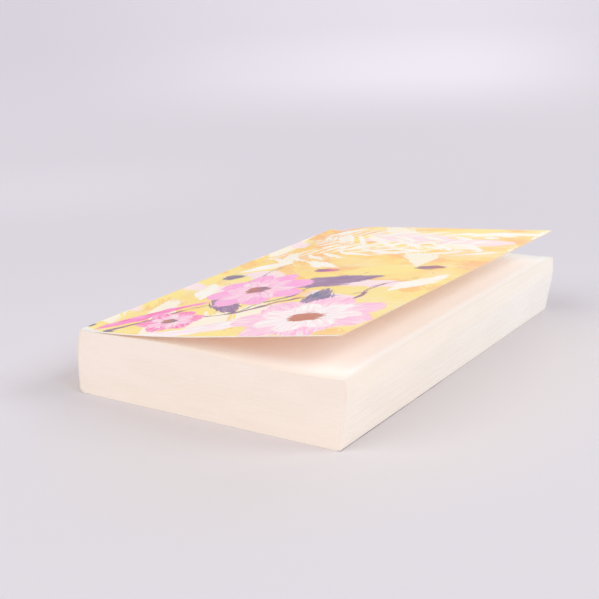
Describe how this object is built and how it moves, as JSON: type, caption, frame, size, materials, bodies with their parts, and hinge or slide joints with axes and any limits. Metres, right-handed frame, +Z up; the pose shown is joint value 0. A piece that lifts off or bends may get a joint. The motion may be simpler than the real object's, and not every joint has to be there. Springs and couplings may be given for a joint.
{
  "type": "paperback book",
  "caption": "Thick paperback book that lies on its back cover, with cream pages, a rolled spine and a printed card cover whose front leaf has sprung open.",
  "frame": {"origin": "middle of the book's outer box, on the surface that the back cover lies on", "axes": "+X from the spine to the fore-edge, +Y from the tail of the pages to their head, +Z up, from the back cover to the front cover"},
  "size_m": [0.1326, 0.198, 0.0452],
  "materials": {
    "pages": "uncoated cream book paper, cut edges",
    "glue": "pale hot-melt glue",
    "cover_card": "coated white card, printed in yellow, cream and pink, with a gloss laminate outside"
  },
  "bodies": {
    "block": {"page_block": "pages", "binding_glue": "glue", "spine_cover": "cover_card"},
    "front_leaf": {"front_cover": "cover_card"},
    "back_leaf": {"back_cover": "cover_card"}
  },
  "joints": [
    {"name": "front_cover_hinge", "type": "hinge", "parent": "block", "child": "front_leaf", "pos_m": [-0.05609, 0, 0.0287], "axis": [0, -1, 0], "range_deg": [-3, 160], "stiffness_Nm_per_rad": 0.008, "springref_deg": 13.75},
    {"name": "back_cover_hinge", "type": "hinge", "parent": "block", "child": "back_leaf", "pos_m": [-0.05929, 0, 0], "axis": [0, 1, 0], "range_deg": [0, 160]}
  ]
}
